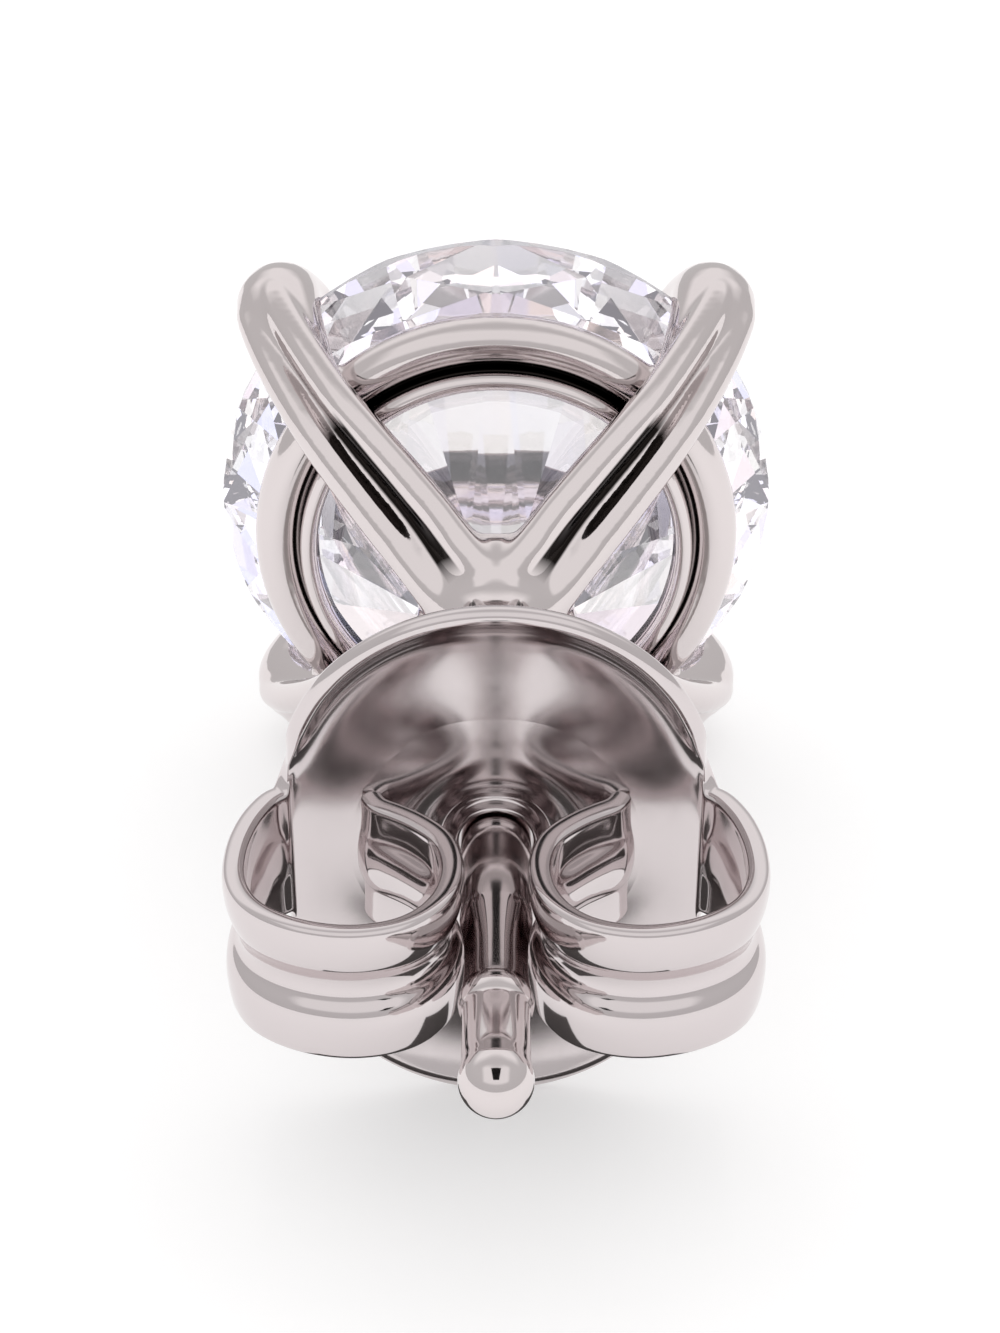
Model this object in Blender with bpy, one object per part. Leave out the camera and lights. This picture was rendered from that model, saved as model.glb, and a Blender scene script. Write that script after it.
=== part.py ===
import math

import bmesh
import bpy
from mathutils import Matrix, Vector

# All dimensions below are in millimetres. The post runs along Y: the stone's table faces +Y and
# the tip of the post -Y. The finished parts are turned to lie on the floor and scaled to metres.
MM = 0.001

# round brilliant stone
STONE_R = 4.0
GIRDLE = 0.25
PAVILION_DEG = 40.75
PAVILION_HALF_DEG = 41.94
CROWN_DEG = 34.5
CROWN_HALF_DEG = 41.1
STAR_DEG = 21.4
TABLE_R = 2.28
STAR_TIP_R = 3.053
GIRDLE_SIDES = 64
SEAT_GAP = 0.03

# basket
ARM_ANGLES = (45.0, 135.0, 225.0, 315.0)
WIRE_R = 0.225
RING_SIDES = 64

# post
POST_R = 0.41
POST_SIDES = 32

# butterfly back
HOLE_R = 0.435
PLATE_W = 2.42
PLATE_C = 0.95
PLATE_Y = -8.75
FUNNEL = 0.36
FUNNEL_R = 0.55
FUNNEL_FADE = 0.60
RIM_Y = -8.08
RIM_DROP = 1.06
RIM_POWER = 1.25
LIP_POWER = 16.0
SHEET = 0.25
PLATE_SIDES = 64
BAND_H = 0.87


def clear_scene():
    for obj in list(bpy.data.objects):
        bpy.data.objects.remove(obj)


def material(name, colour, roughness, metallic, transmission=0.0):
    mat = bpy.data.materials.new(name)
    mat.use_nodes = True
    shader = mat.node_tree.nodes["Principled BSDF"]
    shader.inputs["Base Color"].default_value = (*colour, 1.0)
    shader.inputs["Roughness"].default_value = roughness
    shader.inputs["Metallic"].default_value = metallic
    shader.inputs["Transmission Weight"].default_value = transmission
    return mat


def add_object(name, bm, mat=None):
    bmesh.ops.recalc_face_normals(bm, faces=bm.faces)
    mesh = bpy.data.meshes.new(name)
    bm.to_mesh(mesh)
    bm.free()
    obj = bpy.data.objects.new(name, mesh)
    bpy.context.scene.collection.objects.link(obj)
    if mat:
        mesh.materials.append(mat)
    return obj


def boolean(target, tool, operation):
    mod = target.modifiers.new("cut", "BOOLEAN")
    mod.object = tool
    mod.operation = operation
    mod.solver = "EXACT"
    bpy.context.view_layer.objects.active = target
    bpy.ops.object.modifier_apply(modifier=mod.name)
    bpy.data.objects.remove(tool)


def tidy(obj, sharp_deg):
    bm = bmesh.new()
    bm.from_mesh(obj.data)
    bmesh.ops.remove_doubles(bm, verts=bm.verts, dist=0.00005)
    bmesh.ops.dissolve_degenerate(bm, edges=bm.edges, dist=0.00005)
    bmesh.ops.triangulate(bm, faces=bm.faces)
    bmesh.ops.recalc_face_normals(bm, faces=bm.faces)
    bm.to_mesh(obj.data)
    bm.free()
    if sharp_deg:
        obj.data.shade_smooth()
        obj.data.set_sharp_from_angle(angle=math.radians(sharp_deg))


# rings of vertices joined into tubes, lathes and swept bands


def skin(bm, rings, closed_path):
    count = len(rings[0])
    pairs = list(zip(rings, rings[1:]))
    if closed_path:
        pairs.append((rings[-1], rings[0]))
    for a, b in pairs:
        for i in range(count):
            j = (i + 1) % count
            bm.faces.new((a[i], a[j], b[j], b[i]))


def lathe(profile, sides, closed):
    """Turns (radius, y) points about the Y axis. An open profile starts and ends on the axis."""
    bm = bmesh.new()
    rings = []
    body = profile if closed else profile[1:-1]
    for r, y in body:
        ring = []
        for i in range(sides):
            a = 2 * math.pi * (i + 0.5) / sides
            ring.append(bm.verts.new((r * math.cos(a), y, r * math.sin(a))))
        rings.append(ring)
    skin(bm, rings, closed)
    if not closed:
        for end, ring in ((profile[0], rings[0]), (profile[-1], rings[-1])):
            tip = bm.verts.new((0.0, end[1], 0.0))
            for i in range(sides):
                bm.faces.new((tip, ring[i], ring[(i + 1) % sides]))
    return bm


def spline(points, steps):
    """Catmull-Rom curve through points of any size, with the given steps between two points."""
    out = []
    last = len(points) - 1
    for k in range(last):
        p0 = points[max(k - 1, 0)]
        p1 = points[k]
        p2 = points[k + 1]
        p3 = points[min(k + 2, last)]
        for s in range(steps):
            t = s / steps
            row = []
            for a, b, c, d in zip(p0, p1, p2, p3):
                v = 2 * b + (c - a) * t
                v += (2 * a - 5 * b + 4 * c - d) * t * t
                v += (3 * b - a - 3 * c + d) * t * t * t
                row.append(0.5 * v)
            out.append(tuple(row))
    out.append(tuple(points[-1]))
    return out


def tube(stations, sides):
    """Round bar through (x, y, z, radius) stations, its last end rounded, its first one flat."""
    bm = bmesh.new()
    centres = [Vector(s[:3]) for s in stations]
    radii = [s[3] for s in stations]
    tangents = []
    for k in range(len(centres)):
        a = centres[max(k - 1, 0)]
        b = centres[min(k + 1, len(centres) - 1)]
        tangents.append((b - a).normalized())
    for deg in (30.0, 58.0, 80.0):
        rad = math.radians(deg)
        centres.append(centres[len(stations) - 1] + tangents[-1] * stations[-1][3] * math.sin(rad))
        radii.append(stations[-1][3] * math.cos(rad))
    end = centres[len(stations) - 1] + tangents[-1] * stations[-1][3]
    tangents += [tangents[-1]] * 3
    side = tangents[0].cross(Vector((0.0, 1.0, 0.0))).normalized()
    rings = []
    for centre, radius, tangent in zip(centres, radii, tangents):
        side = (side - tangent * side.dot(tangent)).normalized()
        up = tangent.cross(side)
        ring = []
        for i in range(sides):
            a = 2 * math.pi * i / sides
            ring.append(bm.verts.new(centre + (side * math.cos(a) + up * math.sin(a)) * radius))
        rings.append(ring)
    skin(bm, rings, False)
    for point, ring in ((centres[0], rings[0]), (end, rings[-1])):
        tip = bm.verts.new(point)
        for i in range(sides):
            bm.faces.new((tip, ring[i], ring[(i + 1) % sides]))
    return bm


# stone


def facet(azimuth_deg, radius, y, slope_deg, crown, grow):
    """Plane of one facet: a point of it and its outward normal."""
    az = math.radians(azimuth_deg)
    slope = math.radians(slope_deg)
    rise = math.cos(slope) if crown else -math.cos(slope)
    out = math.sin(slope)
    normal = Vector((out * math.cos(az), rise, out * math.sin(az)))
    point = Vector((radius * math.cos(az), y, radius * math.sin(az)))
    return point + normal * grow, normal


def stone_planes(grow):
    rise = math.tan(math.radians(CROWN_DEG))
    table_y = GIRDLE + (STONE_R - TABLE_R) * rise
    half = math.cos(math.radians(11.25))
    planes = [(Vector((0.0, table_y + grow, 0.0)), Vector((0.0, 1.0, 0.0)))]
    for k in range(8):
        az = 45.0 * k
        planes.append(facet(az, STONE_R, 0.0, PAVILION_DEG, False, grow))
        planes.append(facet(az, STONE_R, GIRDLE, CROWN_DEG, True, grow))
        mid = TABLE_R * math.cos(math.radians(22.5))
        planes.append(facet(az + 22.5, mid, table_y, STAR_DEG, True, grow))
    for k in range(16):
        az = 22.5 * k + 11.25
        planes.append(facet(az, STONE_R * half, 0.0, PAVILION_HALF_DEG, False, grow))
        planes.append(facet(az, STONE_R * half, GIRDLE, CROWN_HALF_DEG, True, grow))
    return planes


def stone_mesh(grow):
    bm = bmesh.new()
    radius = (STONE_R + grow) / math.cos(math.pi / GIRDLE_SIDES)
    ends = []
    for y in (-6.0, 4.0):
        ring = []
        for i in range(GIRDLE_SIDES):
            a = 2 * math.pi * (i + 0.5) / GIRDLE_SIDES
            ring.append(bm.verts.new((radius * math.cos(a), y, radius * math.sin(a))))
        ends.append(ring)
        bm.faces.new(ring)
    skin(bm, ends, False)
    for point, normal in stone_planes(grow):
        everything = list(bm.verts) + list(bm.edges) + list(bm.faces)
        cut = bmesh.ops.bisect_plane(
            bm, geom=everything, dist=1e-6, plane_co=point, plane_no=normal, clear_outer=True
        )
        rim = [g for g in cut["geom_cut"] if isinstance(g, bmesh.types.BMEdge)]
        if rim:
            bmesh.ops.contextual_create(bm, geom=rim)
    return bm


# setting


def head_lathe():
    """Boss behind the stone and the whole post, with its notch, shoulder and ball end."""
    profile = [
        (0.0, -2.68), (0.94, -2.68), (1.05, -2.82), (1.04, -3.06), (0.93, -3.32),
        (0.76, -3.52), (0.62, -3.68), (0.55, -3.88), (0.54, -4.15), (0.51, -4.26),
        (0.44, -4.33), (POST_R, -4.42), (POST_R, -6.2), (POST_R, -8.1), (POST_R, -10.02),
        (0.395, -10.12), (0.365, -10.34), (0.35, -10.72), (0.362, -11.06), (0.385, -11.30),
        (0.40, -11.40), (0.408, -11.48), (0.40, -11.56), (0.378, -11.62), (0.37, -11.72),
        (0.37, -12.34), (0.384, -12.50),
    ]
    centre = -12.69
    radius = 0.397
    for deg in (5.0, 25.0, 45.0, 65.0, 80.0):
        a = math.radians(deg)
        profile.append((radius * math.cos(a), centre - radius * math.sin(a)))
    profile.append((0.0, centre - radius))
    return lathe(profile, POST_SIDES, False)


def ring_lathe():
    """Gallery ring behind the girdle; the stone's seat is cut from it later."""
    profile = [
        (2.70, -1.16), (2.98, -0.90), (3.16, -0.84), (3.32, -0.89), (3.41, -1.04),
        (3.43, -1.28), (3.39, -1.54), (3.26, -1.73), (3.06, -1.81), (2.86, -1.80),
        (2.70, -1.68), (2.65, -1.44),
    ]
    return lathe(profile, RING_SIDES, True)


def radial(angle_deg, rho, side, y):
    """Point at a distance from the axis and beside the radial plane of one arm."""
    a = math.radians(angle_deg)
    return (
        rho * math.cos(a) - side * math.sin(a),
        y,
        rho * math.sin(a) + side * math.cos(a),
    )


def arm_wires(angle_deg):
    path = [
        (0.35, 0.28, -3.44), (0.80, 0.32, -3.26), (1.45, 0.335, -2.88), (2.15, 0.34, -2.50),
        (2.80, 0.32, -2.16), (3.38, 0.28, -1.78), (3.94, 0.25, -1.16), (4.38, 0.24, -0.50),
        (4.57, 0.23, 0.02),
    ]
    wires = []
    for sign in (1.0, -1.0):
        stations = []
        for rho, side, y in spline(path, 2):
            stations.append((*radial(angle_deg, rho, side * sign, y), WIRE_R))
        wires.append(tube(stations, 10))
    return wires


def claw(angle_deg):
    path = [
        (3.22, -1.60, 0.26), (3.61, -1.15, 0.37), (3.97, -0.60, 0.47), (4.20, -0.04, 0.55),
        (4.21, 0.40, 0.54), (3.99, 0.77, 0.47), (3.70, 0.93, 0.38), (3.45, 0.94, 0.30),
    ]
    stations = []
    for rho, y, radius in spline(path, 2):
        stations.append((*radial(angle_deg, rho, 0.0, y), radius))
    return tube(stations, 14)


def make_setting(mat):
    setting = add_object("setting", head_lathe(), mat)
    boolean(setting, add_object("ring_tool", ring_lathe()), "UNION")
    for angle in ARM_ANGLES:
        boolean(setting, add_object("claw_tool", claw(angle)), "UNION")
        for wire in arm_wires(angle):
            boolean(setting, add_object("wire_tool", wire), "UNION")
    boolean(setting, add_object("seat_tool", stone_mesh(SEAT_GAP)), "DIFFERENCE")
    tidy(setting, 40.0)
    return setting


# butterfly back


def obround(angle):
    """Distance from the post's axis to the outline of the plate."""
    c = abs(math.cos(angle))
    s = abs(math.sin(angle))
    if c > 1e-9 and PLATE_W / c * s <= PLATE_C:
        return PLATE_W / c
    return PLATE_C * s + math.sqrt(PLATE_W ** 2 - (PLATE_C * c) ** 2)


def dish_y(distance, rim):
    """Face of the plate towards the tip: flat, sunk round the collar and raised at its rim."""
    edge = RIM_Y - RIM_DROP * (rim / (PLATE_W + PLATE_C)) ** RIM_POWER
    sunk = math.exp(-((max(distance - FUNNEL_R, 0.0) / FUNNEL_FADE) ** 2))
    return PLATE_Y + FUNNEL * sunk + (edge - PLATE_Y) * (distance / rim) ** LIP_POWER


def plate_and_collar():
    """Dished plate with the collar drawn from its middle, as one closed skin."""
    bm = bmesh.new()
    collar = [
        (HOLE_R, -8.49), (0.455, -8.545), (0.485, -8.56), (0.512, -8.54), (0.525, -8.49),
        (0.535, -8.46), (0.57, -8.435), (0.63, -8.42),
    ]
    rings = []
    for i in range(PLATE_SIDES):
        a = 2 * math.pi * (i + 0.5) / PLATE_SIDES
        rim = obround(a)
        loop = list(collar)
        for r in (0.76, 0.96, 1.20, 1.55, rim * 0.82, rim * 0.91):
            loop.append((r, dish_y(r, rim)))
        loop.append((rim - 0.10, dish_y(rim - 0.10, rim)))
        loop.append((rim - 0.03, dish_y(rim, rim) + 0.03))
        loop.append((rim, dish_y(rim, rim) + SHEET / 2))
        loop.append((rim - 0.02, dish_y(rim, rim) + SHEET - 0.03))
        loop.append((rim - 0.10, dish_y(rim - 0.10, rim) + SHEET))
        for r in (rim * 0.86, 1.40, 0.95):
            loop.append((r, dish_y(r, rim) + SHEET))
        loop.append((0.60, PLATE_Y + FUNNEL + SHEET))
        loop.append((0.50, PLATE_Y + FUNNEL + SHEET - 0.02))
        loop.append((HOLE_R, PLATE_Y + FUNNEL + SHEET - 0.10))
        ring = []
        for r, y in loop:
            ring.append(bm.verts.new((r * math.cos(a), y, r * math.sin(a))))
        rings.append(ring)
    skin(bm, rings, True)
    return bm


def band_section(depth):
    """Outline of the sheet across its height: (offset, z), with the groove of the given depth."""
    middle = [
        (0.81, 0.005), (0.64, 0.035), (0.46, 0.020), (0.29, -0.050), (0.0, -0.145),
    ]
    levels = middle + [(-z, g) for z, g in reversed(middle[:-1])]
    outer = [(g * depth + SHEET / 2, z) for z, g in levels]
    inner = [(g * depth - SHEET / 2, z) for z, g in reversed(levels)]
    top = [(-0.05, BAND_H), (0.05, BAND_H)]
    bottom = [(0.05, -BAND_H), (-0.05, -BAND_H)]
    return top + outer + bottom + inner


def scroll(sign):
    """One wing: it leaves the plate's side, curls round and comes back to the plate."""
    path = [
        (2.10, -8.63, 0.0), (2.42, -8.66, 0.0), (2.63, -8.86, 0.4), (2.80, -9.28, 0.9),
        (2.88, -9.80, 1.0), (2.85, -10.35, 1.0), (2.62, -10.82, 1.0), (2.15, -11.14, 1.0),
        (1.54, -11.26, 1.0), (0.96, -11.10, 1.0), (0.57, -10.66, 1.0), (0.445, -10.10, 1.0),
        (0.56, -9.60, 1.0), (0.86, -9.26, 0.9), (1.14, -9.05, 0.7), (1.34, -8.86, 0.5),
        (1.42, -8.64, 0.4),
    ]
    stations = spline(path, 2)
    bm = bmesh.new()
    rings = []
    for k, (x, y, depth) in enumerate(stations):
        a = stations[max(k - 1, 0)]
        b = stations[min(k + 1, len(stations) - 1)]
        along = Vector((b[0] - a[0], b[1] - a[1])).normalized()
        out = Vector((-along.y, along.x))
        ring = []
        for offset, z in band_section(depth):
            ring.append(bm.verts.new((sign * (x + out.x * offset), y + out.y * offset, z)))
        rings.append(ring)
    skin(bm, rings, False)
    bm.faces.new(rings[0])
    bm.faces.new(rings[-1])
    return bm


def make_butterfly(mat):
    back = add_object("butterfly_back", plate_and_collar(), mat)
    for sign in (-1.0, 1.0):
        boolean(back, add_object("scroll_tool", scroll(sign)), "UNION")
    tidy(back, 40.0)
    return back


# placing


def lowest(objects, turn):
    return min((turn @ v.co).z for obj in objects for v in obj.data.vertices)


def rest_turn(head, back):
    """Turn about X that puts the stone and the plate's lower edge on one level."""
    low, high = math.radians(-12.0), math.radians(12.0)
    for _ in range(48):
        mid = (low + high) / 2
        turn = Matrix.Rotation(mid, 4, "X")
        if lowest(head, turn) < lowest(back, turn):
            low = mid
        else:
            high = mid
    return Matrix.Rotation((low + high) / 2, 4, "X")


def place(objects, turn):
    points = [turn @ v.co for obj in objects for v in obj.data.vertices]
    centre_x = (min(p.x for p in points) + max(p.x for p in points)) / 2
    centre_y = (min(p.y for p in points) + max(p.y for p in points)) / 2
    floor = min(p.z for p in points)
    shift = Matrix.Translation((-centre_x, -centre_y, -floor))
    return Matrix.Diagonal((MM, MM, MM, 1.0)) @ shift @ turn


def main():
    clear_scene()
    metal = material("polished_white_metal", (0.80, 0.76, 0.74), 0.06, 1.0)
    nut_metal = material("polished_white_metal_nut", (0.78, 0.74, 0.72), 0.08, 1.0)
    gem = material("clear_stone", (0.95, 0.94, 0.97), 0.0, 0.0, 1.0)
    setting = make_setting(metal)
    stone = add_object("stone", stone_mesh(0.0), gem)
    tidy(stone, 0.0)
    back = make_butterfly(nut_metal)
    objects = [setting, stone, back]
    turn = rest_turn([stone, setting], [back])
    whole = place(objects, turn)
    for obj in objects:
        obj.data.transform(whole)
    pivot = whole @ Vector((0.0, PLATE_Y, 0.0))
    back.data.transform(Matrix.Translation(-pivot))
    back.location = pivot


main()
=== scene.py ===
import math

import bpy
from mathutils import Matrix, Vector


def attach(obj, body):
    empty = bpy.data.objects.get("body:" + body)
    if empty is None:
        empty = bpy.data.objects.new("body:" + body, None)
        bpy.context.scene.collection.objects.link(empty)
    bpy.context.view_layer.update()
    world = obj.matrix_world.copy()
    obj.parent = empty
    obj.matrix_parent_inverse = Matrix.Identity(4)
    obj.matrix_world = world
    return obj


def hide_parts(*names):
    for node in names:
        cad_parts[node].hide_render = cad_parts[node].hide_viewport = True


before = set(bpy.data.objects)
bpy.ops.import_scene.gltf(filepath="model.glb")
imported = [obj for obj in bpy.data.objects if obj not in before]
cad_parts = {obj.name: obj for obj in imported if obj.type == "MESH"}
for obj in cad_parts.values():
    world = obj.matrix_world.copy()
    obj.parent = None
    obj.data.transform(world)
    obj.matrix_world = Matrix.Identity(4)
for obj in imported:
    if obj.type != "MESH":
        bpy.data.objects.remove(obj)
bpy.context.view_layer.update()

# Pieces are modelled in millimetres with the post along Y, the stone's table towards +Y and the
# tip of the post towards -Y. A finished piece is turned to the way the stud lies and made metres.
LIE_DEG = 4.0335
LIE_Y = 5.7328
LIE_Z = 3.9901
MM = 0.001

# stone seat, prongs and gallery ring
ARM_DEG = (45.0, 135.0, 225.0, 315.0)
WIRE = 0.255
HEAD_VOXEL = 0.0445
SEAT_CLEARANCE = 1.006
STONE_MIDDLE_Y = -0.6
BOSS_R = 1.9
BOSS_FADE = 0.5
BOSS_Y = -3.75
BOSS_Y_FADE = 0.25

# butterfly back
SHEET = 0.25
PLATE_W = 2.42
PLATE_C = 0.95
PLATE_Y = -8.75
FUNNEL = 0.36
FUNNEL_R = 0.55
FUNNEL_FADE = 0.36
DOME = 0.14
RIM_Y = -8.08
RIM_DROP = 1.06
RIM_POWER = 1.25
LIP_POWER = 16.0
LOW_LIP_POWER = 4.5
BAND_H = 0.87
HOLE_R = 1.05
HOLE_BEHIND_Y = -8.8
FUNNEL_LIP_R = 0.66
DRAWN_R = 2.05

# paint
METAL_SETTING = (0.735, 0.678, 0.676)
METAL_SETTING_WORN = (0.70, 0.642, 0.642)
METAL_BACK = (0.70, 0.645, 0.650)
METAL_BACK_WORN = (0.665, 0.61, 0.612)
METAL_ROUGH = 0.05
# near-black colour painted as shade into the prong slits and the ring's groove
PAINTED_RECESS_SHADE = (0.016, 0.013, 0.012)
DIAGONAL = 0.7071
STONE_IOR = 2.20
STONE_GLOW = (0.90, 0.86, 1.0)
STONE_GLOW_STRENGTH = 0.015
FLOOR_GLOW = 0.34

# light and camera
FLOOR_SIDE = 1.6
CARD_LIFT = 0.00003
TIP_CARD_HEIGHT = 0.00420
CAMERA_PLACE = (0.0, -0.02721, 0.01851)
CAMERA_DOWN_DEG = 27.63
CAMERA_LENS = 66.01
CAMERA_SENSOR = 36.0
CAMERA_SHIFT = 0.0029
BOUNCES = 16
GLOSSY_BOUNCES = 14


# hand tools


def put_down():
    if bpy.context.object and bpy.context.object.mode != "OBJECT":
        bpy.ops.object.mode_set(mode="OBJECT")
    bpy.ops.object.select_all(action="DESELECT")


def pick_up(*objects):
    put_down()
    for obj in objects:
        obj.select_set(True)
    bpy.context.view_layer.objects.active = objects[0]
    return objects[0]


def named(name):
    obj = bpy.context.object
    obj.name = name
    obj.data.name = name
    return obj


def edit():
    bpy.ops.object.mode_set(mode="EDIT")
    bpy.ops.mesh.select_all(action="SELECT")


def done():
    bpy.ops.mesh.select_all(action="SELECT")
    bpy.ops.mesh.remove_doubles(threshold=0.00002)
    bpy.ops.mesh.normals_make_consistent(inside=False)
    bpy.ops.object.mode_set(mode="OBJECT")


def pick_faces(obj, test):
    """Leaves only the faces that pass the test selected, in edit mode."""
    bpy.ops.object.mode_set(mode="EDIT")
    bpy.ops.mesh.select_mode(type="FACE")
    bpy.ops.mesh.select_all(action="DESELECT")
    bpy.ops.object.mode_set(mode="OBJECT")
    for face in obj.data.polygons:
        face.select = test(face.center)
    bpy.ops.object.mode_set(mode="EDIT")


def apply(obj, kind, **values):
    pick_up(obj)
    mod = obj.modifiers.new(kind.title(), kind)
    for key, value in values.items():
        setattr(mod, key, value)
    bpy.ops.object.modifier_apply(modifier=mod.name)
    return obj


def join(name, pieces):
    obj = pick_up(*pieces)
    bpy.ops.object.join()
    return named(name)


def copied(obj, name, matrix):
    pick_up(obj)
    bpy.ops.object.duplicate()
    twin = named(name)
    twin.data.transform(matrix)
    if matrix.determinant() < 0:
        edit()
        bpy.ops.mesh.normals_make_consistent(inside=False)
        bpy.ops.object.mode_set(mode="OBJECT")
    return twin


def eased(points, steps):
    """Smooth curve through points with any number of values, with even steps between them."""
    out = []
    last = len(points) - 1
    for k in range(last):
        p0, p1, p2, p3 = (points[min(max(k + j, 0), last)] for j in (-1, 0, 1, 2))
        for s in range(steps):
            t = s / steps
            row = []
            for a, b, c, d in zip(p0, p1, p2, p3):
                v = 2 * b + (c - a) * t
                v += (2 * a - 5 * b + 4 * c - d) * t * t
                v += (3 * b - a - 3 * c + d) * t * t * t
                row.append(0.5 * v)
            out.append(tuple(row))
    out.append(tuple(points[-1]))
    return out


def turned(name, profile, steps):
    """A wall drawn point by point as (radius, y) and spun round the post's axis."""
    put_down()
    bpy.ops.mesh.primitive_circle_add(vertices=3, radius=0.1)
    obj = named(name)
    edit()
    bpy.ops.mesh.merge(type="CENTER")
    bpy.ops.transform.translate(value=(profile[0][0], profile[0][1], 0.0))
    for a, b in zip(profile, profile[1:]):
        step = (b[0] - a[0], b[1] - a[1], 0.0)
        bpy.ops.mesh.extrude_region_move(TRANSFORM_OT_translate={"value": step})
    bpy.ops.mesh.select_all(action="SELECT")
    bpy.ops.mesh.remove_doubles(threshold=0.00002)
    bpy.ops.mesh.spin(steps=steps, angle=2 * math.pi, center=(0, 0, 0), axis=(0, 1, 0))
    done()
    return obj


def drawn(name, stations, sides):
    """A round bar drawn through (x, y, radius) stations that lie in one plane, ends rounded."""
    ends = []
    for k in range(len(stations)):
        a = stations[max(k - 1, 0)]
        b = stations[min(k + 1, len(stations) - 1)]
        ends.append(math.atan2(b[1] - a[1], b[0] - a[0]))
    rows = [(x, y, r, h) for (x, y, r), h in zip(stations, ends)]
    x, y, r, h = rows[-1]
    for deg in (20.0, 40.0, 58.0, 74.0, 86.0):
        reach = r * math.sin(math.radians(deg))
        thin = r * math.cos(math.radians(deg))
        rows.append((x + reach * math.cos(h), y + reach * math.sin(h), thin, h))
    put_down()
    bpy.ops.mesh.primitive_circle_add(vertices=sides, radius=rows[0][2], fill_type="NGON")
    obj = named(name)
    edit()
    middle = (0.0, 0.0, 0.0)
    bpy.ops.transform.rotate(value=math.pi / 2, orient_axis="X", center_override=middle)
    heading = math.pi / 2
    bpy.ops.transform.rotate(value=heading - rows[0][3], orient_axis="Z", center_override=middle)
    bpy.ops.transform.translate(value=(rows[0][0], rows[0][1], 0.0))
    for a, b in zip(rows, rows[1:]):
        step = (b[0] - a[0], b[1] - a[1], 0.0)
        bpy.ops.mesh.extrude_region_move(TRANSFORM_OT_translate={"value": step})
        middle = (b[0], b[1], 0.0)
        bpy.ops.transform.rotate(value=a[3] - b[3], orient_axis="Z", center_override=middle)
        size = b[2] / a[2]
        bpy.ops.transform.resize(value=(size, size, size), center_override=middle)
    done()
    return obj


def laid_down(obj):
    turn = Matrix.Rotation(math.radians(LIE_DEG), 4, "X")
    shift = Matrix.Translation((0.0, LIE_Y, LIE_Z))
    obj.data.transform(Matrix.Scale(MM, 4) @ shift @ turn)
    return obj


def smooth(obj, sharp_deg):
    pick_up(obj)
    bpy.ops.object.shade_smooth_by_angle(angle=math.radians(sharp_deg))
    return obj


# materials


class Wire:
    """A node socket that can be used in sums."""

    def __init__(self, tree, socket):
        self.tree = tree
        self.socket = socket

    def sum(self, operation, other, swap=False, clamp=False):
        node = self.tree.nodes.new("ShaderNodeMath")
        node.operation = operation
        node.use_clamp = clamp
        pair = (other, self) if swap else (self, other)
        for socket, value in zip(node.inputs, pair):
            plug(self.tree, socket, value)
        return Wire(self.tree, node.outputs[0])

    def __add__(self, other):
        return self.sum("ADD", other)

    def __radd__(self, other):
        return self.sum("ADD", other, swap=True)

    def __sub__(self, other):
        return self.sum("SUBTRACT", other)

    def __rsub__(self, other):
        return self.sum("SUBTRACT", other, swap=True)

    def __mul__(self, other):
        return self.sum("MULTIPLY", other)

    def __rmul__(self, other):
        return self.sum("MULTIPLY", other, swap=True)

    def __truediv__(self, other):
        return self.sum("DIVIDE", other)

    def __rtruediv__(self, other):
        return self.sum("DIVIDE", other, swap=True)

    def __pow__(self, other):
        return self.sum("POWER", other)


def plug(tree, socket, value):
    if isinstance(value, Wire):
        tree.links.new(value.socket, socket)
    elif value is not None:
        socket.default_value = value


class Bench:
    """Adds nodes to one material or world."""

    def __init__(self, tree):
        self.tree = tree

    def add(self, kind, out=0, settings=None, stops=None, **values):
        node = self.tree.nodes.new("ShaderNode" + kind)
        for key, value in (settings or {}).items():
            setattr(node, key, value)
        if stops:
            ramp = node.color_ramp
            while len(ramp.elements) < len(stops):
                ramp.elements.new(1.0)
            for element, (place, colour) in zip(ramp.elements, stops):
                element.position = place
                element.color = colour if len(colour) == 4 else (*colour, 1.0)
        for key, value in values.items():
            place = int(key[1:]) if key[0] == "i" and key[1:].isdigit() else key.replace("_", " ")
            plug(self.tree, node.inputs[place], value)
        return Wire(self.tree, node.outputs[out])


def band(value, low, high, soft):
    """One between two heights, fading to nothing over a soft edge."""
    rise = ((value - low) / soft + 0.5).sum("ADD", 0.0, clamp=True)
    fall = ((high - value) / soft + 0.5).sum("ADD", 0.0, clamp=True)
    return rise * fall


def new_material(name):
    mat = bpy.data.materials.new(name)
    mat.use_nodes = True
    shader = mat.node_tree.nodes["Principled BSDF"]
    return mat, shader, Bench(mat.node_tree)


def painted_recess_shade(tree, place):
    """How dark the painted shade is in the slits between a prong's two wires and in the ring's groove,
    standing for the shade in these recesses.
    """
    split = tree.nodes.new("ShaderNodeSeparateXYZ")
    plug(tree, split.inputs[0], place)
    x, y, z = (Wire(tree, split.outputs[k]) * 1000.0 for k in range(3))
    turn = math.radians(LIE_DEG)
    up = (z - LIE_Z) * math.cos(turn) - (y - LIE_Y) * math.sin(turn)
    along = (y - LIE_Y) * math.cos(turn) + (z - LIE_Z) * math.sin(turn)
    across = x.sum("ABSOLUTE", 0.0)
    tall = up.sum("ABSOLUTE", 0.0)
    beside = (across - tall) * DIAGONAL
    reach = (across + tall) * DIAGONAL
    # painted shade in the slits between each prong's two wires
    slots = band(beside, -0.225, 0.035, 0.03) * band(reach, 0.98, 3.20, 0.25)
    radius = (x * x + up * up) ** 0.5
    # painted shade in the groove between the ring's bead and its lip, set a little further out towards
    # the top
    left = radius - band(up, 2.0, 9.0, 1.0) * 0.075
    groove = band(left, 2.40, 2.80, 0.03) * band(along, -1.47, -0.80, 0.03)
    return slots.sum("MAXIMUM", groove)


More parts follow.
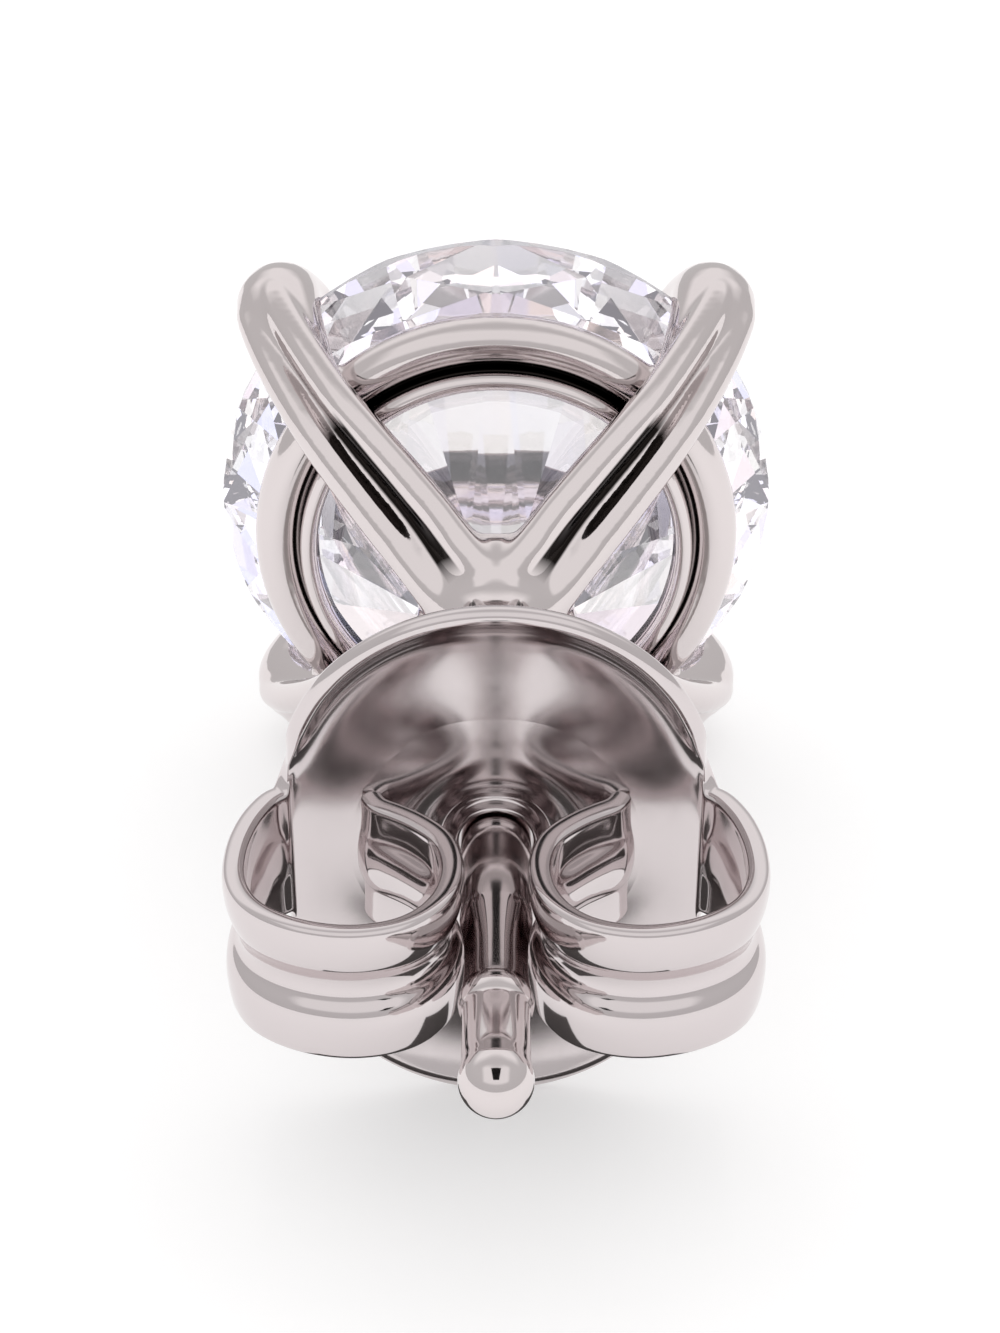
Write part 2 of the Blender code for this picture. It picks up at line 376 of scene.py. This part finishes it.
def white_metal(name, colour, worn, rough, wave, matt=0.0, slots=False):
    """Polished white metal: faint warm clouding, uneven polish and a soft waviness.
    The pressed face of the back's plate, ahead of its wings, has kept less polish."""
    mat, shader, bench = new_material(name)
    tree = mat.node_tree
    place = bench.add("TexCoord", out=3)
    cloud = bench.add("TexNoise", Vector=place, Scale=420.0, Detail=4.0, Roughness=0.55)
    polish = bench.add("TexNoise", Vector=place, Scale=2600.0, Detail=3.0, Roughness=0.6)
    grain = bench.add("TexNoise", Vector=place, Scale=9000.0, Detail=2.0)
    tone = bench.add(
        "Mix", out=2, settings={"data_type": "RGBA"},
        i0=cloud, i6=(*colour, 1.0), i7=(*worn, 1.0),
    )
    if slots:
        # painted shade: the slits and the groove are mixed towards near black
        tone = bench.add(
            "Mix", out=2, settings={"data_type": "RGBA"},
            i0=painted_recess_shade(tree, place), i6=tone, i7=(*PAINTED_RECESS_SHADE, 1.0),
        )
    plug(tree, shader.inputs["Base Color"], tone)
    roughness = rough + cloud * 0.03 + polish * 0.03
    if matt:
        split = tree.nodes.new("ShaderNodeSeparateXYZ")
        plug(tree, split.inputs[0], place)
        across = Wire(tree, split.outputs[0]).sum("ABSOLUTE", 0.0) * 1000.0
        inner = 1.0 - (across - 2.05).sum("MULTIPLY", 3.0, clamp=True)
        along = Wire(tree, split.outputs[1]) * 1000.0
        ahead = (along + 3.35).sum("MULTIPLY", 3.0, clamp=True)
        roughness = roughness + inner * ahead * (matt + 0.10 * polish)
    plug(tree, shader.inputs["Roughness"], roughness)
    shader.inputs["Metallic"].default_value = 1.0
    bump = bench.add("Bump", Strength=wave, Distance=0.00001, Height=cloud * 0.8 + grain * 0.03)
    plug(tree, shader.inputs["Normal"], bump)
    return mat


def clear_gem():
    """Colourless stone, with a breath of lavender or peach painted from facet to facet as painted fire,
    the colours light splits into in a stone.
    """
    mat, shader, bench = new_material("clear_stone")
    facing = bench.add("NewGeometry", out=1)
    shades = bench.add("TexVoronoi", out=1, Vector=facing, Scale=3.0)
    shade = bench.add("SeparateColor", Color=shades)
    # painted fire: each facet's colour is tinted by the way the facet faces
    painted_fire = bench.add(
        "ValToRGB", Fac=shade,
        stops=[
            (0.0, (0.90, 0.89, 1.0)), (0.30, (1.0, 1.0, 1.0)), (0.50, (0.94, 0.95, 1.0)),
            (0.70, (1.0, 0.95, 0.91)), (1.0, (1.0, 1.0, 1.0)),
        ],
    )
    plug(mat.node_tree, shader.inputs["Base Color"], painted_fire)
    shader.inputs["Roughness"].default_value = 0.0
    shader.inputs["IOR"].default_value = STONE_IOR
    shader.inputs["Emission Color"].default_value = (*STONE_GLOW, 1.0)
    shader.inputs["Emission Strength"].default_value = STONE_GLOW_STRENGTH
    shader.inputs["Transmission Weight"].default_value = 1.0
    return mat


def floor_paint():
    mat, shader, bench = new_material("pale_floor")
    place = bench.add("TexCoord", out=3)
    mottle = bench.add("TexNoise", Vector=place, Scale=60.0, Detail=2.0)
    tone = bench.add(
        "Mix", out=2, settings={"data_type": "RGBA"},
        i0=mottle, i6=(0.70, 0.70, 0.70, 1.0), i7=(0.71, 0.71, 0.71, 1.0),
    )
    plug(mat.node_tree, shader.inputs["Base Color"], tone)
    shader.inputs["Emission Color"].default_value = (1.0, 1.0, 1.0, 1.0)
    shader.inputs["Emission Strength"].default_value = FLOOR_GLOW
    shader.inputs["Roughness"].default_value = 0.6
    shader.inputs["Specular IOR Level"].default_value = 0.2
    return mat


def wear(obj, mat):
    obj.data.materials.clear()
    obj.data.materials.append(mat)


# the head: boss, double-wire prongs, claws and gallery ring


def hub():
    wall = eased([
        (0.0, -2.68), (0.80, -2.70), (1.02, -2.80), (1.09, -2.96), (1.04, -3.14), (0.92, -3.34),
        (0.79, -3.54), (0.69, -3.72), (0.635, -3.90), (0.615, -4.10),
    ], 4)
    end = eased([(0.612, -4.16), (0.60, -4.22), (0.56, -4.26), (0.50, -4.27), (0.0, -4.27)], 3)
    return turned("hub", wall + end, 96)


def gallery_ring():
    """Round bead outside, a narrow groove and a thin lip towards the stone."""
    section = [(3.30, -0.66)]
    for k in range(19):
        a = math.radians(40.0 - 215.0 * k / 18)
        section.append((3.09 + 0.345 * math.cos(a), -1.14 + 0.345 * math.sin(a)))
    section += [(2.755, -1.06), (2.60, -0.98), (2.90, -0.80), (3.30, -0.66)]
    return turned("gallery_ring", section, 160)


def seat_lip():
    """The ring's inner lip, a thin step towards the stone with a groove all along its outside."""
    section = [(2.80, -1.12), (2.80, -1.36)]
    for k in range(17):
        a = math.radians(40.0 - 220.0 * k / 16)
        section.append((2.655 + 0.125 * math.cos(a), -1.50 + 0.150 * math.sin(a)))
    section += [(2.52, -1.30), (2.52, -1.12), (2.80, -1.12)]
    return turned("seat_lip", section, 160)


def prong():
    """One prong in the plane of its arm: two wires side by side that run into one claw."""
    path = [
        (0.20, -3.44, 1.25), (0.80, -3.22, 1.18), (1.45, -2.85, 1.06), (2.15, -2.50, 1.0),
        (2.80, -2.17, 0.98), (3.39, -1.80, 0.96), (4.02, -1.17, 0.94), (4.44, -0.58, 0.92),
        (4.58, -0.24, 0.88), (4.62, 0.06, 0.66),
    ]
    stations = [(x, y, WIRE * r) for x, y, r in eased(path, 3)]
    offsets = [
        (0.0, 0.28), (0.8, 0.35), (1.45, 0.37), (2.15, 0.36), (2.8, 0.335), (3.38, 0.30),
        (3.94, 0.275), (4.36, 0.25), (4.6, 0.23), (4.9, 0.23),
    ]
    pieces = []
    for sign in (1.0, -1.0):
        bar = drawn("wire", stations, 24)
        for v in bar.data.vertices:
            x = max(0.0, v.co.x)
            for (xa, sa), (xb, sb) in zip(offsets, offsets[1:]):
                if xa <= x <= xb:
                    v.co.z += sign * (sa + (sb - sa) * (x - xa) / (xb - xa))
        pieces.append(bar)
    fill = eased([
        (0.20, -3.44, 0.32), (0.55, -3.32, 0.30), (0.90, -3.10, 0.20), (1.45, -2.70, 0.14),
        (2.15, -2.35, 0.13), (2.80, -2.02, 0.13), (3.30, -1.68, 0.13),
    ], 3)
    pieces.append(drawn("web", fill, 20))
    grip = eased([
        (3.22, -1.56, 0.26), (3.60, -1.12, 0.38), (4.03, -0.58, 0.51), (4.30, -0.06, 0.60),
        (4.26, 0.36, 0.58), (4.00, 0.74, 0.48), (3.70, 0.92, 0.38), (3.45, 0.94, 0.30),
    ], 3)
    pieces.append(drawn("claw", grip, 28))
    return join("prong", pieces)


def make_head():
    first = prong()
    pieces = [hub(), gallery_ring()]
    for k, deg in enumerate(ARM_DEG):
        turn = Matrix.Rotation(math.radians(-deg), 4, "Y")
        pieces.append(copied(first, f"prong_{k}", turn))
    bpy.data.objects.remove(first)
    head = join("head", pieces)
    apply(head, "REMESH", mode="VOXEL", voxel_size=HEAD_VOXEL)
    soft = head.vertex_groups.new(name="boss")
    for v in head.data.vertices:
        reach = math.hypot(v.co.x, v.co.z)
        if reach < BOSS_R and v.co.y > BOSS_Y:
            share = min(1.0, (BOSS_R - reach) / BOSS_FADE, (v.co.y - BOSS_Y) / BOSS_Y_FADE)
            soft.add([v.index], share, "REPLACE")
    apply(head, "SMOOTH", factor=0.5, iterations=60, vertex_group="boss")
    apply(head, "SMOOTH", factor=0.5, iterations=8)
    return head


def seat_cutter():
    """The stone's own shape, a hair larger, for the seat that is cut into prongs and ring."""
    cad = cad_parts["stone"]
    mesh = cad.data.copy()
    cutter = bpy.data.objects.new("seat_cutter", mesh)
    bpy.context.scene.collection.objects.link(cutter)
    pick_up(cutter)
    edit()
    bpy.ops.mesh.remove_doubles(threshold=0.0000005)
    bpy.ops.object.mode_set(mode="OBJECT")
    turn = Matrix.Rotation(math.radians(LIE_DEG), 4, "X")
    shift = Matrix.Translation((0.0, LIE_Y, LIE_Z))
    upright = (Matrix.Scale(MM, 4) @ shift @ turn).inverted()
    middle = Matrix.Translation((0.0, STONE_MIDDLE_Y, 0.0))
    mesh.transform(middle @ Matrix.Scale(SEAT_CLEARANCE, 4) @ middle.inverted() @ upright)
    return cutter


def cut_seat(head):
    cutter = seat_cutter()
    apply(head, "BOOLEAN", operation="DIFFERENCE", object=cutter, solver="MANIFOLD")
    bpy.data.objects.remove(cutter)


def make_post():
    shaft = [(0.0, -4.15), (0.30, -4.15), (0.405, -4.20), (0.41, -4.30), (0.41, -7.2), (0.41, -10.00)]
    notch = eased([
        (0.41, -10.02), (0.402, -10.09), (0.385, -10.20), (0.366, -10.36), (0.353, -10.58),
        (0.349, -10.78), (0.354, -10.98), (0.366, -11.16), (0.380, -11.28),
    ], 4)
    shoulder = eased([
        (0.388, -11.34), (0.400, -11.39), (0.409, -11.44), (0.412, -11.49), (0.408, -11.54),
        (0.396, -11.59), (0.380, -11.625), (0.371, -11.66), (0.369, -11.72),
    ], 3)
    tip = eased([(0.369, -11.80), (0.369, -12.26), (0.370, -12.40), (0.376, -12.49), (0.388, -12.58)], 4)
    ball = []
    for k in range(25):
        a = math.radians(-12.0 + 102.0 * k / 24)
        ball.append((0.399 * math.cos(a), -12.69 - 0.399 * math.sin(a)))
    ball[-1] = (0.0, ball[-1][1])
    return turned("post", shaft + notch + shoulder + tip + ball, 144)


# the butterfly back: one stamped sheet with both ends curled, and a drawn collar


def plate_height(x):
    return PLATE_C + math.sqrt(max(PLATE_W ** 2 - x * x, 0.0))


def rim_reach(x, z):
    """How far the plate's outline is from the post's axis in the direction of a point."""
    reach = max(math.hypot(x, z), 0.000001)
    across, up = abs(x) / reach, abs(z) / reach
    if across * PLATE_C >= up * PLATE_W:
        return PLATE_W / across
    return PLATE_C * up + math.sqrt(PLATE_W ** 2 - (PLATE_C * across) ** 2)


def sunk_face(reach):
    """The plate's slightly domed face, drawn in towards the stone round the collar."""
    dome = DOME * (reach / 3.0) ** 2
    return PLATE_Y + dome + FUNNEL * math.exp(-((max(reach - FUNNEL_R, 0.0) / FUNNEL_FADE) ** 2))


def dish(x, z):
    """Middle of the plate's sheet: domed a little, its rim raised, least at the wings' corners."""
    rim = rim_reach(x, z)
    reach = math.hypot(x, z)
    edge = RIM_Y - RIM_DROP * (rim / (PLATE_W + PLATE_C)) ** RIM_POWER
    behind = 0.05 * min(max((1.55 - reach) / 0.3, 0.0), 1.0)
    low = min(max(-z / 1.5, 0.0), 1.0)
    power = LIP_POWER + (LOW_LIP_POWER - LIP_POWER) * low
    lip = (edge - sunk_face(rim)) * min(reach / rim, 1.0) ** power
    corner = min(max((abs(x) - 1.95) / 0.45, 0.0), 1.0) * min(max((1.75 - abs(z)) / 0.6, 0.0), 1.0)
    return sunk_face(reach) + behind + SHEET / 2 + lip * (1.0 - 0.8 * corner)


LEVELS = [
    (-0.870, -0.006), (-0.760, 0.018), (-0.640, 0.034), (-0.500, 0.040),
    (-0.390, 0.036), (-0.325, 0.020), (-0.285, -0.004), (-0.250, -0.040), (-0.200, -0.080),
    (-0.110, -0.124), (0.010, -0.142), (0.120, -0.130), (0.220, -0.100), (0.300, -0.062),
    (0.350, -0.034), (0.400, -0.014), (0.480, 0.006), (0.620, 0.024), (0.760, 0.022),
    (0.870, -0.004),
]
PLATE_LEVELS = [
    -1.0, -0.955, -0.88, -0.75, -0.61, -0.48, -0.36, -0.25, -0.15, -0.05,
    0.05, 0.15, 0.25, 0.36, 0.48, 0.61, 0.75, 0.88, 0.955, 1.0,
]
WING = [
    (2.47, -8.675, 0.0), (2.60, -8.80, 0.25), (2.72, -9.04, 0.6), (2.815, -9.35, 0.9),
    (2.88, -9.80, 1.0), (2.85, -10.35, 1.0), (2.62, -10.82, 1.0), (2.15, -11.14, 1.0),
    (1.54, -11.26, 1.0), (0.96, -11.10, 1.0), (0.60, -10.66, 1.0), (0.49, -10.10, 1.0),
    (0.60, -9.60, 1.0), (0.88, -9.26, 0.9), (1.14, -9.06, 0.7), (1.35, -8.92, 0.5),
    (1.46, -8.70, 0.4),
]


def sheet_rows():
    """Rows of points across the sheet, from one free end over the plate to the other."""
    levels = [(z / BAND_H, g) for z, g in LEVELS]
    wing = []
    stations = eased(WING, 3)
    for k, (x, y, depth) in enumerate(stations):
        a = stations[max(k - 1, 0)]
        b = stations[min(k + 1, len(stations) - 1)]
        along = Vector((b[0] - a[0], b[1] - a[1])).normalized()
        row = []
        for v, g in levels:
            row.append(Vector((x - along.y * g * depth, y + along.x * g * depth, v * BAND_H)))
        wing.append(row)
    plate = []
    for k in range(1, 48):
        angle = math.radians(90.0 - 180.0 * k / 48)
        x = PLATE_W * math.sin(angle)
        tall = plate_height(x)
        share = min((PLATE_W - abs(x)) / 0.5, 1.0)
        ups = [(v + (p - v) * share) * tall for (v, g), p in zip(levels, PLATE_LEVELS)]
        plate.append([Vector((x, dish(x, z), z)) for z in ups])
    other = [[Vector((-p.x, p.y, p.z)) for p in row] for row in wing]
    return list(reversed(wing)) + plate + other


def make_sheet():
    rows = sheet_rows()
    put_down()
    wide, tall = len(rows), len(rows[0])
    bpy.ops.mesh.primitive_grid_add(x_subdivisions=wide - 1, y_subdivisions=tall - 1, size=1.0)
    sheet = named("butterfly")
    for v in sheet.data.vertices:
        i = round((v.co.x + 0.5) * (wide - 1))
        j = round((v.co.y + 0.5) * (tall - 1))
        v.co = rows[i][j]
    pick_faces(sheet, lambda p: math.hypot(p.x, p.z) < HOLE_R and p.y > HOLE_BEHIND_Y)
    bpy.ops.mesh.delete(type="FACE")
    bpy.ops.mesh.select_mode(type="VERT")
    bpy.ops.mesh.select_all(action="SELECT")
    bpy.ops.mesh.normals_make_consistent(inside=False)
    bpy.ops.object.mode_set(mode="OBJECT")
    apply(sheet, "SOLIDIFY", thickness=SHEET, offset=0.0, use_even_offset=False)
    apply(sheet, "SUBSURF", levels=2, render_levels=2)
    return sheet


def make_collar():
    """The lip round the post and the drawn middle of the plate, which also covers the sheet's hole."""
    lip = eased([
        (0.435, -8.14), (0.435, -8.25), (0.435, -8.42), (0.437, -8.49), (0.445, -8.535),
        (0.463, -8.562), (0.486, -8.564), (0.507, -8.545), (0.520, -8.50), (0.536, -8.458),
        (0.574, -8.425), (FUNNEL_LIP_R, sunk_face(FUNNEL_LIP_R)),
    ], 4)
    face = []
    for k in range(1, 17):
        reach = FUNNEL_LIP_R + (DRAWN_R - FUNNEL_LIP_R) * k / 16
        proud = -0.004 + 0.012 * min(max((reach - 1.55) / 0.5, 0.0), 1.0)
        face.append((reach, sunk_face(reach) + proud))
    cover = [
        (2.02, -0.03), (1.92, 0.0), (1.82, 0.018), (1.6, 0.035), (1.4, 0.062), (1.2, 0.072),
        (0.95, 0.072), (0.75, 0.05),
    ]
    back = [(reach, sunk_face(reach) + SHEET + proud) for reach, proud in cover]
    back += [(0.60, -8.17), (0.50, -8.145), (0.435, -8.14)]
    return turned("collar", lip + face + [(DRAWN_R, -8.60)] + back, 128)


# floor, light and camera


def make_floor():
    put_down()
    bpy.ops.mesh.primitive_grid_add(x_subdivisions=8, y_subdivisions=8, size=FLOOR_SIDE)
    floor = named("floor")
    wear(floor, floor_paint())


def reflection_card_paint(name, shade):
    mat, shader, bench = new_material(name)
    mottle = bench.add("TexNoise", Vector=bench.add("TexCoord", out=3), Scale=0.9)
    dark, light = (shade, shade * 0.94, shade * 0.92), (shade * 1.2, shade * 1.15, shade * 1.13)
    plug(mat.node_tree, shader.inputs["Base Color"], bench.add(
        "ValToRGB", Fac=mottle, stops=[(0.0, dark), (1.0, light)],
    ))
    shader.inputs["Roughness"].default_value = 0.9
    shader.inputs["Specular IOR Level"].default_value = 0.0
    return mat


def make_reflection_card(name, place, aim, size, paint):
    """A card that shows in reflections alone: here painted shadow on the floor under the stud and a
    painted dark reflection over the post's tip.
    """
    put_down()
    bpy.ops.mesh.primitive_plane_add(size=1.0, location=place)
    card = named(name)
    card.rotation_euler = (Vector(aim) - Vector(place)).to_track_quat("Z", "Y").to_euler()
    card.scale = (size[0], size[1], 1.0)
    wear(card, paint)
    card.visible_camera = False
    card.visible_diffuse = False
    card.visible_transmission = False
    card.visible_shadow = False


def make_tent():
    """A pale tent with panels in front and a light behind. Second reflections in the metal see a
    dark gap in front, deeper ones are dimmer, and the stone's rays see coloured panes."""
    world = bpy.data.worlds.new("tent")
    bpy.context.scene.world = world
    world.use_nodes = True
    tree = world.node_tree
    bench = Bench(tree)
    way = bench.add("TexCoord", out=0)
    split = tree.nodes.new("ShaderNodeSeparateXYZ")
    plug(tree, split.inputs[0], way)
    x, y, z = (Wire(tree, split.outputs[k]) for k in range(3))
    path = tree.nodes.new("ShaderNodeLightPath")
    camera_ray = Wire(tree, path.outputs["Is Camera Ray"])
    through_stone = Wire(tree, path.outputs["Is Transmission Ray"])
    diffuse_ray = Wire(tree, path.outputs["Is Diffuse Ray"])
    depth = Wire(tree, path.outputs["Ray Depth"])
    # the world sees a camera ray at depth one, a first reflection at two and so on
    again = (depth - 2.0).sum("ADD", 0.0, clamp=True)
    front = band(0.0 - y, 0.12, 2.0, 0.16)
    wide = x.sum("ABSOLUTE", 0.0)
    panels = front * band(z, 0.40, 0.95, 0.10) * band(wide, -1.0, 0.62, 0.12)
    behind = band(y, 0.30, 2.0, 0.30) * band(z, 0.50, 0.93, 0.20)
    gap = again * front * band(z, 0.38, 0.935, 0.03) * band(wide, -1.0, 0.17, 0.03)
    sky = 0.61 + band(z, 0.10, 2.0, 0.9) * 0.06 + panels * 0.30 + behind * 0.35
    third = (depth - 3.0).sum("ADD", 0.0, clamp=True)
    fourth = (depth - 4.0).sum("ADD", 0.0, clamp=True)
    dimmer = 1.0 - again * 0.10 - third * 0.20 - fourth * 0.20
    sky = sky * (1.0 - gap * (1.0 - through_stone) * 0.98) * dimmer
    plain = camera_ray.sum("MAXIMUM", through_stone)
    glow = sky + (1.0 - sky) * plain
    glow = glow + (1.16 - glow) * diffuse_ray
    panes = bench.add("TexVoronoi", out=1, Vector=way, Scale=2.1)
    pane = bench.add("SeparateColor", Color=panes)
    fire = bench.add(
        "ValToRGB", Fac=pane,
        stops=[
            (0.0, (0.80, 0.74, 0.84)), (0.16, (0.98, 0.98, 1.26)), (0.36, (1.28, 1.26, 1.34)),
            (0.55, (1.22, 1.04, 0.98)), (0.70, (0.90, 0.92, 1.20)), (0.84, (1.30, 1.30, 1.34)),
            (1.0, (1.08, 0.90, 0.84)),
        ],
    )
    colour = bench.add(
        "Mix", out=2, settings={"data_type": "RGBA"},
        i0=through_stone, i6=(1.0, 0.99, 0.99, 1.0), i7=fire,
    )
    plug(tree, tree.nodes["Background"].inputs["Color"], colour)
    plug(tree, tree.nodes["Background"].inputs["Strength"], glow)


def make_camera():
    put_down()
    pitch = math.radians(90.0 - CAMERA_DOWN_DEG)
    bpy.ops.object.camera_add(location=CAMERA_PLACE, rotation=(pitch, 0.0, 0.0))
    cam = bpy.context.object
    cam.data.lens = CAMERA_LENS
    cam.data.sensor_width = CAMERA_SENSOR
    cam.data.shift_x = CAMERA_SHIFT
    cam.data.clip_start = 0.001
    cam.data.clip_end = 10.0
    bpy.context.scene.camera = cam


def main():
    setting_metal = white_metal(
        "setting_metal", METAL_SETTING, METAL_SETTING_WORN, METAL_ROUGH, 0.05, slots=True,
    )
    back_metal = white_metal(
        "back_metal", METAL_BACK, METAL_BACK_WORN, METAL_ROUGH, 0.06, matt=0.03,
    )
    wear(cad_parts["stone"], clear_gem())

    head = make_head()
    cut_seat(head)
    smooth(head, 40.0)
    post = smooth(make_post(), 60.0)
    for piece in (head, post):
        laid_down(piece)
        wear(piece, setting_metal)
        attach(piece, "earring")
        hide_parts("setting")

    lip = smooth(seat_lip(), 50.0)
    cut_seat(lip)
    laid_down(lip)
    wear(lip, setting_metal)
    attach(lip, "earring")
    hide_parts("setting")

    butterfly = smooth(make_sheet(), 60.0)
    collar = smooth(make_collar(), 60.0)
    for piece in (butterfly, collar):
        laid_down(piece)
        wear(piece, back_metal)
        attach(piece, "back")
        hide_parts("butterfly_back")

    make_floor()
    # paints for the reflection-only cards: grey and brown for painted floor shadow, black for a painted
    # reflection
    black = reflection_card_paint("reflection_card_black", 0.008)
    grey = reflection_card_paint("floor_shadow_grey", 0.40)
    brown = reflection_card_paint("floor_shadow_brown", 0.10)
    reflection_cards = [
        # painted shadow: dark cards on the floor between the stone and the back and under the back, for
        # the floor's shade under the stud
        ("stone_floor_shadow_card", 0.0002, CARD_LIFT, (0.0036, 0.0034), grey),
        ("nut_floor_shadow_card", -0.0046, CARD_LIFT, (0.0054, 0.0026), brown),
        # painted reflection: a black card over the post's tip that only reflections see, giving the post
        # a dark stripe
        ("tip_reflection_card", -0.0079, TIP_CARD_HEIGHT, (0.0005, 0.0010), black),
    ]
    for name, y, height, size, paint in reflection_cards:
        make_reflection_card(name, (0.0, y, height), (0.0, y, 1.0), size, paint)
    make_tent()
    make_camera()
    scene = bpy.context.scene
    scene.view_settings.view_transform = "Standard"
    scene.cycles.max_bounces = BOUNCES
    scene.cycles.glossy_bounces = GLOSSY_BOUNCES
    scene.cycles.transmission_bounces = BOUNCES


main()
